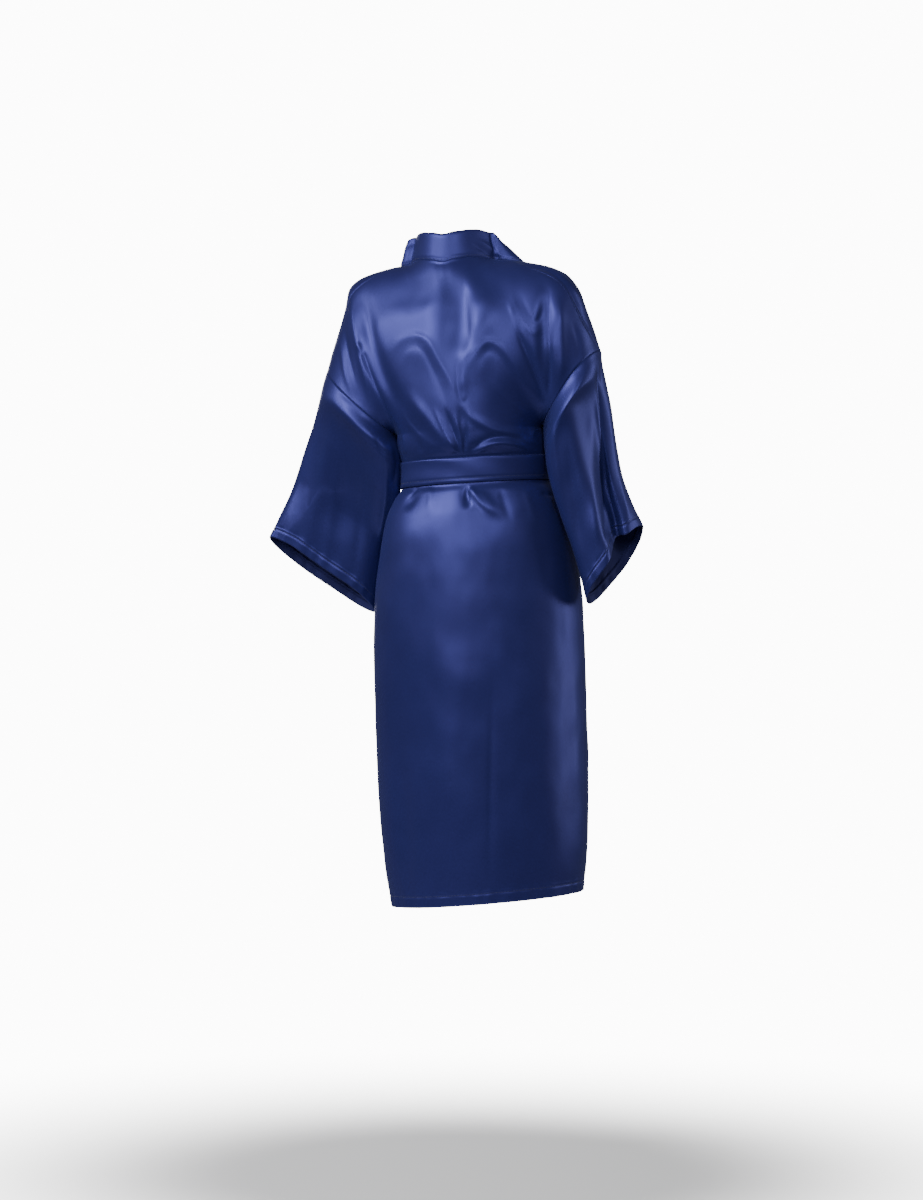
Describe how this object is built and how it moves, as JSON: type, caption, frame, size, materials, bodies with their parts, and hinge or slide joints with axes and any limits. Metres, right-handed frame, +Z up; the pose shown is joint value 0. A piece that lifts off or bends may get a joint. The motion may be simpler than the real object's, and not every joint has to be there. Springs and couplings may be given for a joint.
{
  "type": "kimono robe",
  "caption": "Child's satin kimono robe, knee length, filled out as worn: wrap front, wide three-quarter sleeves, standing neckband and a tie belt knotted in front.",
  "frame": {"origin": "where the shoulders hold the robe: in the middle of them, level with the two points where the shoulder seams meet the neckband", "axes": "+X to the wearer's left, +Y to the back, +Z up"},
  "size_m": [0.4574, 0.2071, 0.8082],
  "materials": {
    "satin": "navy polyester satin, face side out, broad soft gloss",
    "band_satin": "the same satin, folded double and pressed",
    "belt_satin": "the same satin, folded double, edge stitched"
  },
  "bodies": {
    "root": {"back": "satin", "front_left": "satin", "front_right": "satin", "sleeve_left": "satin", "sleeve_right": "satin", "neckband": "band_satin", "belt": "belt_satin", "belt_knot": "belt_satin", "belt_tail_left": "belt_satin", "belt_tail_right": "belt_satin"}
  },
  "joints": []
}
